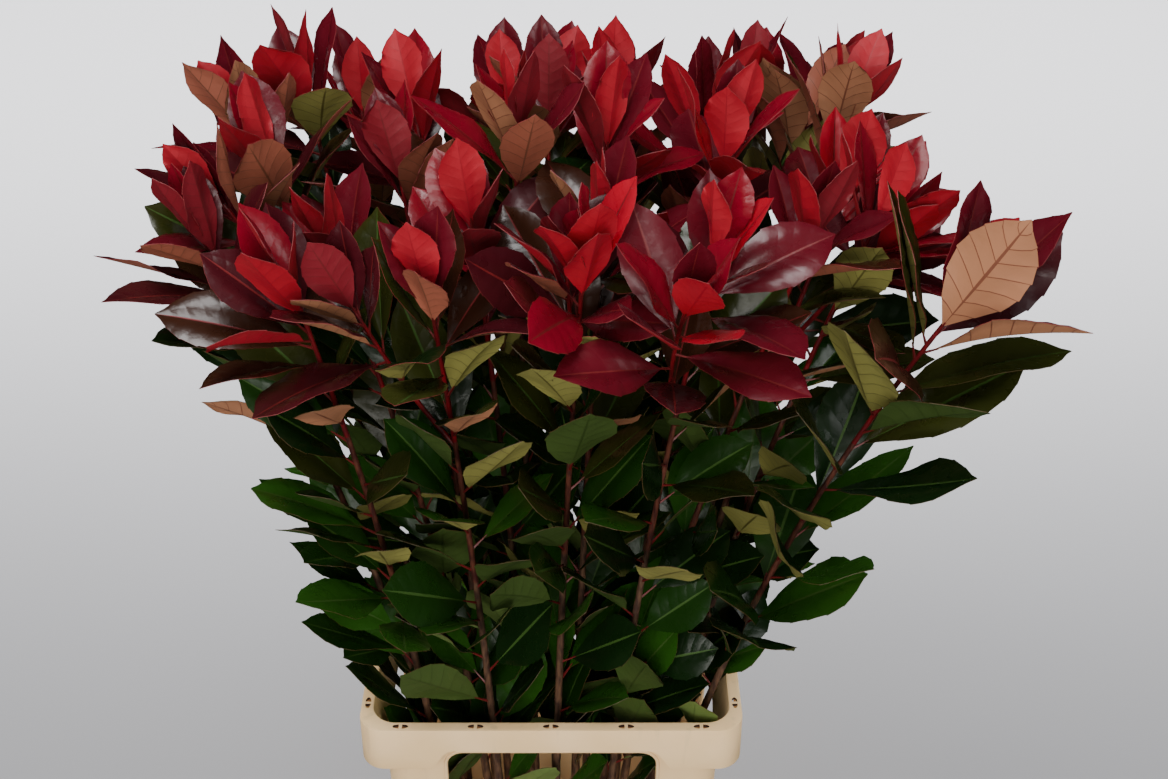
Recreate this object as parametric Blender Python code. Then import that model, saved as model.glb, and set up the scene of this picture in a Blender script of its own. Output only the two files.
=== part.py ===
"""Cut photinia branches standing in a florist's crate.

Lengths are metres and +Z is up. The origin is the middle of the crate's flat underside, and -Y is the
front. The crate is a low tub with a windowed collar on it, which is made as a foot, four corner posts and
a rim so that each has a simple shape. Each branch is a bare stem that stands on the tub's floor, and above
it a leafy mass: a main shoot, on some branches a side shoot, and their leaves.
"""

import itertools
import math
import random

import bmesh
import bpy
from mathutils import Vector
from mathutils.bvhtree import BVHTree

CLEAR = 0.0003  # gap between pieces that touch

# The collar's rim, seen from above
RIM_LENGTH = 0.400
RIM_DEPTH = 0.300
RIM_TOP = 0.440
CORNER_RADIUS = 0.026
CORNER_STEPS = 4

# The collar's section: a stacking skirt outside, a flange on top, a funnel lip and a tapering wall inside
PLASTIC = 0.003
EDGE_CHAMFER = 0.0015
FLANGE_WIDTH = 0.013
SKIRT_DROP = 0.054
FUNNEL_INSET = 0.024
FUNNEL_DROP = 0.040
WALL_FOOT_INSET = 0.031
WALL_DROP = 0.245
BEAD_INSET = 0.016
BEAD_DROP = 0.220
BEAD_HEIGHT = 0.005

# Openings in the collar's sides
WINDOW_TOP_DROP = 0.050
WINDOW_HEIGHT = 0.148
WINDOW_CORNER = 0.018
WINDOW_SIDE_MARGIN = 0.088  # from the rim's corner to the window
CUTAWAY_DROP = 0.0285  # how deep the skirt is above a window
CUTAWAY_MARGIN = 0.091
CUTAWAY_SLANT = 0.0165
CUTAWAY_DEPTH = 0.0075
CUT_PAST = 0.010  # how far a cutter runs past the faces it cuts
POST_FOOT = 0.2465  # the corner posts stand on the collar's foot here, just over the windows' lower edges,
POST_TOP = 0.3855  # and carry its rim here, just under the skirt

# The tub under the collar
TUB_LIP_INSET = 0.014
TUB_LIP_HEIGHT = 0.012
TUB_MOUTH_INSET = 0.0265
TUB_WALL_INSET = 0.0235
TUB_FOOT_INSET = 0.038
TUB_FLOOR = 0.0035

# Branches, one row of feet after another from the front: how far back the feet and the tips are,
# how high the tips are, where the first and the last tip is across, and how many branches it has
ROWS = (
    ("front", -0.076, -0.160, 0.965, -0.215, 0.255, 5),
    ("second", -0.038, -0.060, 0.975, -0.300, 0.285, 6),
    ("middle", 0.000, 0.050, 1.005, -0.275, 0.300, 6),
    ("fourth", 0.038, 0.160, 1.010, -0.265, 0.285, 5),
    ("back", 0.076, 0.255, 0.985, -0.195, 0.215, 4),
)
FOOT_HALF_SPREAD = 0.106
KNEE_HEIGHT = 0.460
KNEE_SPREAD = 1.08  # how much wider the row stands at the knee than at the foot
TIP_JITTER = 0.016
HEIGHT_JITTER = 0.018
TIP_FALL = 0.10  # how much lower a tip is for each metre it is off the middle
LEADERS = {  # tips that stand out from their row
    "front_2": (-0.098, -0.165, 0.955),
    "front_3": (0.034, -0.150, 0.982),
    "front_4": (0.148, -0.145, 0.986),
    "front_5": (0.368, -0.120, 0.922),
    "second_1": (-0.312, -0.060, 0.958),
    "second_5": (0.245, -0.060, 0.962),
    "second_6": (0.310, -0.030, 0.972),
    "fourth_1": (-0.249, 0.167, 1.012),
    "fourth_5": (0.305, 0.176, 0.992),
}

STEM_RADIUS = 0.0056
STEM_TAPER = 0.0037  # radius lost from the foot to the tip
STEM_SIDES = 6
STEM_RINGS = 5
BARE_TOP = 0.400  # where the bare stem ends and its leafy mass begins, over the windows
SHOOT_STEPS = 6
TWIG_SIDES = 3

FORK_DROP = 0.170  # how far below the tip a side shoot leaves
FORK_REACH = 0.070
FORK_TURN = 70  # degrees, from straight outwards
FORK_LOWER = 0.018  # how much lower than the main tip it ends
FORK_KNEE_OUT = 0.043
FORK_KNEE_UP = 0.051
FORK_BARE_BELOW = 0.140  # a side shoot has no leaves more than this below the main tip
FORK_RADIUS = 0.0026
FORK_STEPS = 4
FORKED = (
    "front_2",
    "front_4",
    "second_4",
    "middle_1",
    "middle_6",
    "fourth_1",
    "fourth_5",
    "back_2",
    "back_4",
)

# Leaves, by their distance below the shoot's tip
LEAF_LENGTH = 0.118
YOUNG_LEAF_LENGTH = 0.080
LARGE_LEAVED = {"front_5": 1.22}  # how much longer this branch's leaves are
LEAF_WIDTH = 0.52  # share of the length
LEAF_THICKNESS = 0.022  # share of the length
LEAF_FOLD = 0.10  # how far the edges stand above the midrib, as a share of the length
LEAF_DROOP = 0.10
WIDEST_AT = 0.56
TOP_LEAF = 0.003
ROSETTE_LEAVES = 7
ROSETTE_TILTS = (14, 48)  # degrees from the shoot, for the youngest and the oldest leaf of a rosette
ROSETTE_STEP = 0.007
STEM_LEAF_STEP = 0.042
STEM_LEAF_TILT = 55
LOWEST_LEAF = 0.430
TRIED_SIZES = (1, 0.8, 0.6)  # a leaf without room is tried smaller,
TRIED_TILTS = (1, 0.7, 0.4)  # nearer to its shoot,
TRIED_TURNS = (0, 30, -30, 60, -60, 90, -90, 130)  # and turned by these degrees
AIR = 0.001  # kept between a leaf and its neighbours
GOLDEN_ANGLE = math.radians(137.5)
TURN_JITTER = 0.2
LENGTH_RANGE = (0.9, 1.05)
WALL_MARGIN = 0.012  # kept between a leaf and the collar
LOW_TOP = 0.570  # leaves under this height don't spread past the rim
FUNNEL_SLOPE = 0.3
SEED = 11

# A leaf's faces, by the corners that leaf_points gives
LEAF_FACES = ((0, 4, 2), (0, 3, 4), (1, 2, 4), (1, 4, 3), (0, 2, 5), (0, 5, 3), (1, 5, 2), (1, 3, 5))


def mesh_object(name, points, faces):
    """A new object in the scene from corner points and faces, with its normals pointing out."""
    mesh = bpy.data.meshes.new(name)
    mesh.from_pydata([tuple(p) for p in points], [], faces)
    shape = bmesh.new()
    shape.from_mesh(mesh)
    bmesh.ops.recalc_face_normals(shape, faces=shape.faces)
    shape.to_mesh(mesh)
    shape.free()
    obj = bpy.data.objects.new(name, mesh)
    bpy.context.scene.collection.objects.link(obj)
    return obj


def material(name, colour, roughness):
    made = bpy.data.materials.new(name)
    made.use_nodes = True
    shader = made.node_tree.nodes["Principled BSDF"]
    shader.inputs["Base Color"].default_value = (*colour, 1)
    shader.inputs["Roughness"].default_value = roughness
    return made


def finish_object(obj, look, smooth_angle=None):
    obj.data.materials.clear()
    obj.data.materials.append(look)
    if smooth_angle:
        obj.data.shade_smooth()
        obj.data.set_sharp_from_angle(angle=math.radians(smooth_angle))


def outline(inset):
    """The rim's rounded rectangle, drawn in by an inset, as (x, y) points anticlockwise."""
    half_x = RIM_LENGTH / 2 - inset - CORNER_RADIUS
    half_y = RIM_DEPTH / 2 - inset - CORNER_RADIUS
    points = []
    for quarter, (side_x, side_y) in enumerate(((1, 1), (-1, 1), (-1, -1), (1, -1))):
        for step in range(CORNER_STEPS + 1):
            angle = math.pi / 2 * (quarter + step / CORNER_STEPS)
            x = side_x * half_x + CORNER_RADIUS * math.cos(angle)
            y = side_y * half_y + CORNER_RADIUS * math.sin(angle)
            points.append((x, y))
    return points


def loft(profile, closed):
    """Points and faces of a wall that carries the profile's (inset, height) points round the outline."""
    points = [(x, y, height) for inset, height in profile for x, y in outline(inset)]
    count = len(outline(0))
    rings = len(profile)
    faces = []
    for ring in range(rings if closed else rings - 1):
        below, above = ring * count, (ring + 1) % rings * count
        for k in range(count):
            after = (k + 1) % count
            faces.append((below + k, below + after, above + after, above + k))
    if not closed:
        faces.append(tuple(range(count)))
        faces.append(tuple(range((rings - 1) * count, rings * count)))
    return points, faces


def prism(name, section, span, turned):
    """A cutter: a section of (across, height) points drawn out over a span along Y or, turned, along X."""
    points = [(across, depth, height) for depth in span for across, height in section]
    if turned:
        points = [(y, -x, z) for x, y, z in points]
    count = len(section)
    sides = [(k, (k + 1) % count, count + (k + 1) % count, count + k) for k in range(count)]
    faces = [*sides, tuple(range(count)), tuple(range(count, 2 * count))]
    return mesh_object(name, points, faces)


def cut(obj, cutter, operation="DIFFERENCE"):
    """Takes the cutter out of the object, or keeps only what they share, and removes the cutter."""
    modifier = obj.modifiers.new("cut", "BOOLEAN")
    modifier.operation = operation
    modifier.object = cutter
    apply_modifiers(obj)
    bpy.data.objects.remove(cutter)


def apply_modifiers(obj):
    graph = bpy.context.evaluated_depsgraph_get()
    obj.data = bpy.data.meshes.new_from_object(obj.evaluated_get(graph))
    obj.modifiers.clear()


def part_within(obj, name, low, high):
    """The part of the object inside a box, from its low corner to its high one, as an object of its own."""
    piece = obj.copy()
    piece.name = name
    piece.data = obj.data.copy()
    bpy.context.scene.collection.objects.link(piece)
    section = [(low[0], low[2]), (high[0], low[2]), (high[0], high[2]), (low[0], high[2])]
    cut(piece, prism("box", section, (low[1], high[1]), turned=False), "INTERSECT")
    return piece


def window_section(half_width):
    """A rectangle with round corners in the plane of a side wall."""
    top = RIM_TOP - WINDOW_TOP_DROP
    middle = top - WINDOW_HEIGHT / 2
    flat_x = half_width - WINDOW_CORNER
    flat_z = WINDOW_HEIGHT / 2 - WINDOW_CORNER
    points = []
    for quarter, (side_x, side_z) in enumerate(((1, 1), (-1, 1), (-1, -1), (1, -1))):
        for step in range(CORNER_STEPS):
            angle = math.pi / 2 * (quarter + step / (CORNER_STEPS - 1))
            x = side_x * flat_x + WINDOW_CORNER * math.cos(angle)
            points.append((x, middle + side_z * flat_z + WINDOW_CORNER * math.sin(angle)))
    return points


def cutaway_section(half_width):
    """The part of the skirt left out over a window: flat on top, with slanting ends."""
    top = RIM_TOP - CUTAWAY_DROP
    bottom = RIM_TOP - SKIRT_DROP - CUT_PAST
    slant = CUTAWAY_SLANT * (top - bottom) / (SKIRT_DROP - CUTAWAY_DROP)
    wide = half_width + slant
    return [(half_width, top), (-half_width, top), (-wide, bottom), (wide, bottom)]


def build_collar():
    top = RIM_TOP
    profile = [
        (0, top - SKIRT_DROP),
        (0, top - EDGE_CHAMFER),
        (EDGE_CHAMFER, top),
        (FLANGE_WIDTH - EDGE_CHAMFER, top),
        (FLANGE_WIDTH, top - EDGE_CHAMFER),
        (FUNNEL_INSET, top - FUNNEL_DROP),
        (WALL_FOOT_INSET, top - WALL_DROP),
        (WALL_FOOT_INSET - PLASTIC, top - WALL_DROP),
        (WALL_FOOT_INSET - PLASTIC, top - BEAD_DROP - BEAD_HEIGHT),
        (BEAD_INSET, top - BEAD_DROP - BEAD_HEIGHT),
        (BEAD_INSET, top - BEAD_DROP),
        (WALL_FOOT_INSET - 1.3 * PLASTIC, top - BEAD_DROP),
        (FUNNEL_INSET - PLASTIC, top - FUNNEL_DROP),
        (FLANGE_WIDTH - PLASTIC, top - PLASTIC),
        (PLASTIC, top - PLASTIC),
        (PLASTIC, top - SKIRT_DROP),
    ]
    collar = mesh_object("whole_collar", *loft(profile, closed=True))
    for side, (length, reach) in enumerate(((RIM_LENGTH, RIM_DEPTH), (RIM_DEPTH, RIM_LENGTH)) * 2):
        turned = side % 2 == 1
        facing = -1 if side < 2 else 1
        outside = reach / 2 * facing
        for section, depth in (
            (window_section(length / 2 - WINDOW_SIDE_MARGIN), WALL_FOOT_INSET + CUT_PAST),
            (cutaway_section(length / 2 - CUTAWAY_MARGIN), CUTAWAY_DEPTH),
        ):
            span = (outside + CUT_PAST * facing, outside - depth * facing)
            cut(collar, prism("cutter", section, span, turned))
    return split_collar(collar)


def split_collar(whole):
    """The collar's rim, its foot, and the four posts between them."""
    x, y = RIM_LENGTH / 2 + CUT_PAST, RIM_DEPTH / 2 + CUT_PAST
    pieces = [
        part_within(whole, "collar_rim", (-x, -y, POST_TOP), (x, y, RIM_TOP + CUT_PAST)),
        part_within(whole, "collar_foot", (-x, -y, 0), (x, y, POST_FOOT)),
    ]
    for along, (near, far) in (("front", (-y, 0)), ("back", (0, y))):
        for across, (left, right) in (("left", (-x, 0)), ("right", (0, x))):
            low = (left, near, POST_FOOT + CLEAR)
            high = (right, far, POST_TOP - CLEAR)
            pieces.append(part_within(whole, f"collar_post_{along}_{across}", low, high))
    bpy.data.objects.remove(whole)
    return pieces


def build_tub():
    lip = RIM_TOP - BEAD_DROP - BEAD_HEIGHT - CLEAR
    profile = [
        (TUB_FOOT_INSET + PLASTIC, TUB_FLOOR),
        (TUB_MOUTH_INSET, lip),
        (TUB_LIP_INSET, lip),
        (TUB_LIP_INSET, lip - TUB_LIP_HEIGHT),
        (TUB_WALL_INSET, lip - TUB_LIP_HEIGHT),
        (TUB_FOOT_INSET, 0),
    ]
    return mesh_object("tub", *loft(profile, closed=False))


def bezier(foot, knee, tip, t):
    return (1 - t) ** 2 * foot + 2 * t * (1 - t) * knee + t * t * tip


class Branch:
    """One cut branch: where it stands, how it bows outwards, and its side shoot if it has one."""

    def __init__(self, row, place, chance):
        name, foot_y, tip_y, tip_z, first_x, last_x, count = row
        across = place / (count - 1)
        foot_x = (2 * across - 1) * FOOT_HALF_SPREAD
        tip_x = first_x + across * (last_x - first_x)
        self.label = f"{name}_{place + 1}"
        self.foot = Vector((foot_x, foot_y, TUB_FLOOR + CLEAR))
        self.knee = Vector((foot_x * KNEE_SPREAD, foot_y * KNEE_SPREAD, KNEE_HEIGHT))
        tip = (
            tip_x + chance.uniform(-TIP_JITTER, TIP_JITTER),
            tip_y + chance.uniform(-TIP_JITTER, TIP_JITTER),
            tip_z - TIP_FALL * abs(tip_x) + chance.uniform(-HEIGHT_JITTER, HEIGHT_JITTER),
        )
        self.tip = Vector(LEADERS.get(self.label, tip))
        self.forked = self.label in FORKED
        self.fork_turn = math.radians(FORK_TURN) * (-1) ** place
        self.leaf_turn = chance.uniform(0, 2 * math.pi)

    def at(self, t):
        return bezier(self.foot, self.knee, self.tip, t)

    def at_height(self, height):
        """The share of the way along the branch at which it reaches a height, by halving."""
        low, high = 0.0, 1.0
        for _ in range(30):
            middle = (low + high) / 2
            if self.at(middle).z < height:
                low = middle
            else:
                high = middle
        return low

    def radius(self, t):
        return STEM_RADIUS - STEM_TAPER * t

    def shoots(self):
        """The lines above the bare stem, as lists of (point, radius): main shoot, then side shoot."""
        start = self.at_height(BARE_TOP + CLEAR)
        shares = [start + (1 - start) * k / SHOOT_STEPS for k in range(SHOOT_STEPS + 1)]
        lines = [[(self.at(t), self.radius(t)) for t in shares]]
        if self.forked:
            lines.append(self.side_shoot())
        return lines

    def side_shoot(self):
        """It leaves the main shoot sideways, at a turn from straight outwards, and bends up beside it."""
        fork = self.at(self.at_height(self.tip.z - FORK_DROP))
        outward = Vector((self.tip.x, self.tip.y, 0)).normalized()
        side = Vector((
            outward.x * math.cos(self.fork_turn) - outward.y * math.sin(self.fork_turn),
            outward.x * math.sin(self.fork_turn) + outward.y * math.cos(self.fork_turn),
            0,
        ))
        end = self.tip + side * FORK_REACH - Vector((0, 0, FORK_LOWER))
        knee = fork + side * FORK_KNEE_OUT + Vector((0, 0, FORK_KNEE_UP))
        shares = [k / FORK_STEPS for k in range(FORK_STEPS + 1)]
        return [(bezier(fork, knee, end, t), FORK_RADIUS * (1 - 0.5 * t)) for t in shares]


def tube(line, sides, level):
    """Points and faces of a limb round a line of (point, radius). Level rings make its ends horizontal."""
    points = []
    for k, (point, radius) in enumerate(line):
        before = line[max(k - 1, 0)][0]
        after = line[min(k + 1, len(line) - 1)][0]
        along = Vector((0, 0, 1)) if level else (after - before).normalized()
        first = along.orthogonal().normalized() if not level else Vector((1, 0, 0))
        second = along.cross(first)
        for side in range(sides):
            angle = 2 * math.pi * side / sides
            points.append(point + radius * (math.cos(angle) * first + math.sin(angle) * second))
    faces = [tuple(range(sides)), tuple(range((len(line) - 1) * sides, len(line) * sides))]
    for ring in range(len(line) - 1):
        for side in range(sides):
            after = (side + 1) % sides
            below, above = ring * sides, (ring + 1) * sides
            faces.append((below + side, below + after, above + after, above + side))
    return points, faces


def leaf_points(root, along, turn, tilt, length, swell=0.0):
    """The corners of a folded leaf: root, tip, left and right edge, and the midrib's top and underside."""
    first = along.orthogonal().normalized()
    outward = math.cos(turn) * first + math.sin(turn) * along.cross(first)
    reach = math.cos(tilt) * along + math.sin(tilt) * outward
    upper = math.sin(tilt) * along - math.cos(tilt) * outward
    middle = root + reach * WIDEST_AT * length
    edge = upper * LEAF_FOLD * length
    half_width = reach.cross(upper) * (LEAF_WIDTH * length / 2 + swell)
    thick = upper * (LEAF_THICKNESS * length / 2 + swell)
    tip = root + reach * (length + swell) - upper * LEAF_DROOP * length * math.sin(tilt)
    left = middle + edge + half_width
    right = middle + edge - half_width
    return [root, tip, left, right, middle + thick, middle - thick]


class Room:
    """Tells whether a leaf is clear of the crate, of the other branches and of every leaf before it."""

    def __init__(self, branches):
        self.limbs = [limb_tree(branch) for branch in branches]
        self.leaves = []

    def take(self, number, root, along, turn, tilt, length):
        """The leaf's corners if it has room, after noting it; otherwise nothing."""
        swollen = leaf_points(root, along, turn, tilt, length, AIR)
        tree = BVHTree.FromPolygons(swollen, LEAF_FACES)
        if not clear_of_crate(swollen):
            return None
        if any(tree.overlap(limb) for owner, limb in enumerate(self.limbs) if owner != number):
            return None
        middle = swollen[4]
        near = (other for centre, other in self.leaves if (centre - middle).length < 1.2 * LEAF_LENGTH)
        if any(tree.overlap(other) for other in near):
            return None
        corners = leaf_points(root, along, turn, tilt, length)
        self.leaves.append((middle, BVHTree.FromPolygons(corners, LEAF_FACES)))
        return corners


def limb_tree(branch):
    """A search tree of a branch's stem and shoots, thickened by the air that leaves keep from them."""
    points, faces = [], []
    shares = [k / SHOOT_STEPS for k in range(SHOOT_STEPS + 1)]
    stem = [(branch.at(t), branch.radius(t)) for t in shares]
    for line in (stem, *branch.shoots()):
        thick = [(point, radius + AIR) for point, radius in line]
        more_points, more_faces = tube(thick, STEM_SIDES, level=False)
        faces += [tuple(corner + len(points) for corner in face) for face in more_faces]
        points += more_points
    return BVHTree.FromPolygons(points, faces)


def clear_of_crate(corners):
    """Whether a leaf stands well inside the collar as far as it isn't above it, and doesn't spread low."""
    for low, high, share in itertools.product(corners[:4], corners[:4], (0, 0.25, 0.5)):
        point = low.lerp(high, share)
        below = RIM_TOP + WALL_MARGIN - point.z
        inset = 0.0
        if below > 0:
            inset = FLANGE_WIDTH + WALL_MARGIN + FUNNEL_SLOPE * min(below, FUNNEL_DROP)
        outside = abs(point.x) > RIM_LENGTH / 2 - inset or abs(point.y) > RIM_DEPTH / 2 - inset
        if outside and point.z < LOW_TOP:
            return False
    return True


def along_line(line, distance):
    """The point at a distance back from a line's end, and the line's direction there."""
    left = distance
    for (low, _), (high, _) in zip(line[-2::-1], line[:0:-1]):
        span = (high - low).length
        if left <= span:
            return high.lerp(low, left / span), (high - low).normalized()
        left -= span
    return None


def leaf_places(line, lowest):
    """(distance below the tip, length, tilt) of each leaf on a shoot, youngest first, down to a height."""
    distance = TOP_LEAF
    places = []
    for k in range(ROSETTE_LEAVES):
        share = k / (ROSETTE_LEAVES - 1)
        length = YOUNG_LEAF_LENGTH + share * (LEAF_LENGTH - YOUNG_LEAF_LENGTH)
        tilt = ROSETTE_TILTS[0] + share * (ROSETTE_TILTS[1] - ROSETTE_TILTS[0])
        places.append((distance, length, math.radians(tilt)))
        distance += ROSETTE_STEP
    while True:
        distance += STEM_LEAF_STEP
        found = along_line(line, distance)
        if found is None or found[0].z < lowest:
            return places
        places.append((distance, LEAF_LENGTH, math.radians(STEM_LEAF_TILT)))


def place_leaves(branches, chance):
    """The corners of every branch's leaves: those at the tips find their room first, then those below."""
    wanted = []
    for number, branch in enumerate(branches):
        for order, line in enumerate(branch.shoots()):
            lowest = LOWEST_LEAF if order == 0 else branch.tip.z - FORK_BARE_BELOW
            for k, (distance, length, tilt) in enumerate(leaf_places(line, lowest)):
                turn = branch.leaf_turn + order + k * GOLDEN_ANGLE
                turn += chance.uniform(-TURN_JITTER, TURN_JITTER)
                length *= chance.uniform(*LENGTH_RANGE) * LARGE_LEAVED.get(branch.label, 1)
                wanted.append((distance, number, *along_line(line, distance), turn, tilt, length))
    wanted.sort(key=lambda leaf: leaf[:2])
    room = Room(branches)
    placed = [[] for _ in branches]
    for _, number, root, along, turn, tilt, length in wanted:
        for size, share, extra in itertools.product(TRIED_SIZES, TRIED_TILTS, TRIED_TURNS):
            turned = turn + math.radians(extra)
            corners = room.take(number, root, along, turned, tilt * share, length * size)
            if corners:
                placed[number].append(corners)
                break
    return placed


def fuse(obj, others):
    """Joins the others into the object by one union, and removes them."""
    group = bpy.data.collections.new("joined")
    for other in others:
        group.objects.link(other)
    modifier = obj.modifiers.new("union", "BOOLEAN")
    modifier.operation = "UNION"
    modifier.operand_type = "COLLECTION"
    modifier.collection = group
    modifier.solver = "MANIFOLD"
    apply_modifiers(obj)
    for other in others:
        bpy.data.objects.remove(other)
    bpy.data.collections.remove(group)


def keep_main_body(obj):
    """Drops loose scraps, and fills sealed hollows, by keeping only the largest set of connected faces."""
    shape = bmesh.new()
    shape.from_mesh(obj.data)
    unseen = set(shape.faces)
    bodies = []
    while unseen:
        body, edge = set(), [unseen.pop()]
        while edge:
            face = edge.pop()
            body.add(face)
            for corner in face.verts:
                near = unseen.intersection(corner.link_faces)
                unseen -= near
                edge += near
        bodies.append(body)
    largest = max(bodies, key=len)
    bmesh.ops.delete(shape, geom=[f for f in shape.faces if f not in largest], context="FACES")
    shape.to_mesh(obj.data)
    shape.free()


def build_stem(branch):
    top = branch.at_height(BARE_TOP)
    shares = [top * k / (STEM_RINGS - 1) for k in range(STEM_RINGS)]
    line = [(branch.at(t), branch.radius(t)) for t in shares]
    return mesh_object(f"stem_{branch.label}", *tube(line, STEM_SIDES, level=True))


def build_leafy_mass(branch, leaves):
    lines = branch.shoots()
    mass = mesh_object(f"leaves_{branch.label}", *tube(lines[0], TWIG_SIDES, level=True))
    others = [mesh_object("side_shoot", *tube(line, TWIG_SIDES, level=False)) for line in lines[1:]]
    others += [mesh_object("leaf", corners, LEAF_FACES) for corners in leaves]
    fuse(mass, others)
    keep_main_body(mass)
    return mass


def main():
    for obj in list(bpy.data.objects):
        bpy.data.objects.remove(obj)
    plastic = material("cream_plastic", (0.68, 0.60, 0.46), 0.45)
    bark = material("red_brown_bark", (0.17, 0.07, 0.04), 0.6)
    foliage = material("red_and_green_leaves", (0.30, 0.05, 0.04), 0.3)
    finish_object(build_tub(), plastic, smooth_angle=35)
    for piece in build_collar():
        finish_object(piece, plastic, smooth_angle=35)
    chance = random.Random(SEED)
    branches = [Branch(row, place, chance) for row in ROWS for place in range(row[-1])]
    for branch, leaves in zip(branches, place_leaves(branches, chance)):
        finish_object(build_stem(branch), bark, smooth_angle=70)
        finish_object(build_leafy_mass(branch, leaves), foliage)


main()
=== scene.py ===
"""Looks of the cut photinia branches: fine leaves and bark, the moulded crate, the light and the camera.

Lengths are metres, +Z is up and -Y is the front. The branches are placed by the same seeded rule as the
solids are, and carry more and finer leaves.
"""

import itertools
import math
import random
from dataclasses import dataclass

import bmesh
import bpy
import numpy as np
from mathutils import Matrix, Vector
from mathutils.bvhtree import BVHTree


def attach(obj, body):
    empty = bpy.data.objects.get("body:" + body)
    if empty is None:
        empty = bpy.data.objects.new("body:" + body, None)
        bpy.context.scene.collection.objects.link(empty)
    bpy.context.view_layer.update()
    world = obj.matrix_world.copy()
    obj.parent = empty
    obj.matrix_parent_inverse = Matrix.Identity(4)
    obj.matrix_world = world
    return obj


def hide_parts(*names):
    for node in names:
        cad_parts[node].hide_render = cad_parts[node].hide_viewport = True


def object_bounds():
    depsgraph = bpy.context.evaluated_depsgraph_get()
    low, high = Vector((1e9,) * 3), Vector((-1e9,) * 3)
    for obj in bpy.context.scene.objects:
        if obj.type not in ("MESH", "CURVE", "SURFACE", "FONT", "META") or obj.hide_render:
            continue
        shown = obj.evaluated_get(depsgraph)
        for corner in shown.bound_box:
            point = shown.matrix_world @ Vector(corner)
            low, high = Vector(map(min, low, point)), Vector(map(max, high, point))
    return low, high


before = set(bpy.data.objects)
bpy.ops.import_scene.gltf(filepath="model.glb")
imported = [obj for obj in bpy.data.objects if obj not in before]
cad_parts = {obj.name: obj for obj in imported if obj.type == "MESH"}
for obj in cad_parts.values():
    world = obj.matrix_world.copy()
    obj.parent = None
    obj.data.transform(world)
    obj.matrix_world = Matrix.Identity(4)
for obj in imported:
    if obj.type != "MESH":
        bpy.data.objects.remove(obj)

cad_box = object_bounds()

# The camera, as the photograph's was
CAMERA_PLACE = (0.0343, -1.396, 1.617)
CAMERA_DOWN = 31.5  # degrees under the level
LENS = 50.09  # millimetres, on a sensor 36 mm wide

# The crate, as in the solids
RIM_LENGTH = 0.400
RIM_DEPTH = 0.300
RIM_TOP = 0.440
CORNER_RADIUS = 0.026
PLASTIC = 0.003
FLANGE_WIDTH = 0.013
SKIRT_DROP = 0.054
FUNNEL_INSET = 0.024
FUNNEL_DROP = 0.040
WALL_FOOT_INSET = 0.031
WALL_DROP = 0.245
BEAD_INSET = 0.016
BEAD_DROP = 0.220
BEAD_HEIGHT = 0.005
WINDOW_TOP_DROP = 0.050
WINDOW_HEIGHT = 0.148
WINDOW_CORNER = 0.018
WINDOW_SIDE_MARGIN = 0.088
CUTAWAY_DROP = 0.0285
CUTAWAY_MARGIN = 0.091
CUTAWAY_SLANT = 0.0165
CUTAWAY_DEPTH = 0.0075
CUT_PAST = 0.010
TUB_LIP_INSET = 0.014
TUB_LIP_HEIGHT = 0.012
TUB_MOUTH_INSET = 0.0265
TUB_WALL_INSET = 0.0235
TUB_FOOT_INSET = 0.038
TUB_FLOOR = 0.0035
CLEAR = 0.0003

# Rounded edges and window lips, finer than in the solids
CORNER_STEPS = 12
WINDOW_CORNER_STEPS = 8
EDGE_ROUND = 0.0012
CUTAWAY_ROUND = 0.007
TUB_ROUND = 0.002
TUB_FOOT_FLAT = 0.012
LIP_RADIUS = 0.0023
LIP_SIDES = 8
LIP_OUTSIDE = 0.001  # from the window's edge
LIP_SUNK = 0.0006  # into the wall
SHARP_EDGE = math.radians(32)

# The pairs of slots along the top of the rim
SLOT_PITCH = 0.078
SLOT_LENGTH = 0.0066
SLOT_WIDTH = 0.0060
SLOT_RIB = 0.0034
SLOT_INSET = 0.0068
SLOTS_LONG = 5
SLOTS_SHORT = 4
SLOT_PITCH_SHORT = 0.0715
SLOT_DEPTH = 0.007
SLOT_CUT_ABOVE = 0.004
SLOT_ROUND_STEPS = 6

# Branches, as in the solids
ROWS = (
    ("front", -0.076, -0.160, 0.965, -0.215, 0.255, 5),
    ("second", -0.038, -0.060, 0.975, -0.300, 0.285, 6),
    ("middle", 0.000, 0.050, 1.005, -0.275, 0.300, 6),
    ("fourth", 0.038, 0.160, 1.010, -0.265, 0.285, 5),
    ("back", 0.076, 0.255, 0.985, -0.195, 0.215, 4),
)
FOOT_HALF_SPREAD = 0.106
KNEE_HEIGHT = 0.460
KNEE_SPREAD = 1.08
TIP_JITTER = 0.016
HEIGHT_JITTER = 0.018
TIP_FALL = 0.10
LEADERS = {
    "front_2": (-0.098, -0.165, 0.955),
    "front_3": (0.034, -0.150, 0.982),
    "front_4": (0.148, -0.145, 0.986),
    "front_5": (0.368, -0.120, 0.922),
    "second_1": (-0.312, -0.060, 0.958),
    "second_5": (0.245, -0.060, 0.962),
    "second_6": (0.310, -0.030, 0.972),
    "fourth_1": (-0.249, 0.167, 1.012),
    "fourth_5": (0.305, 0.176, 0.992),
}
STEM_RADIUS = 0.0056
STEM_TAPER = 0.0037
FORK_DROP = 0.170
FORK_REACH = 0.070
FORK_TURN = 70
FORK_LOWER = 0.018
FORK_KNEE_OUT = 0.043
FORK_KNEE_UP = 0.051
FORK_BARE_BELOW = 0.140
FORK_RADIUS = 0.0026
FORKED = (
    "front_2",
    "front_4",
    "second_4",
    "middle_1",
    "middle_6",
    "fourth_1",
    "fourth_5",
    "back_2",
    "back_4",
)
SEED = 11

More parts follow.
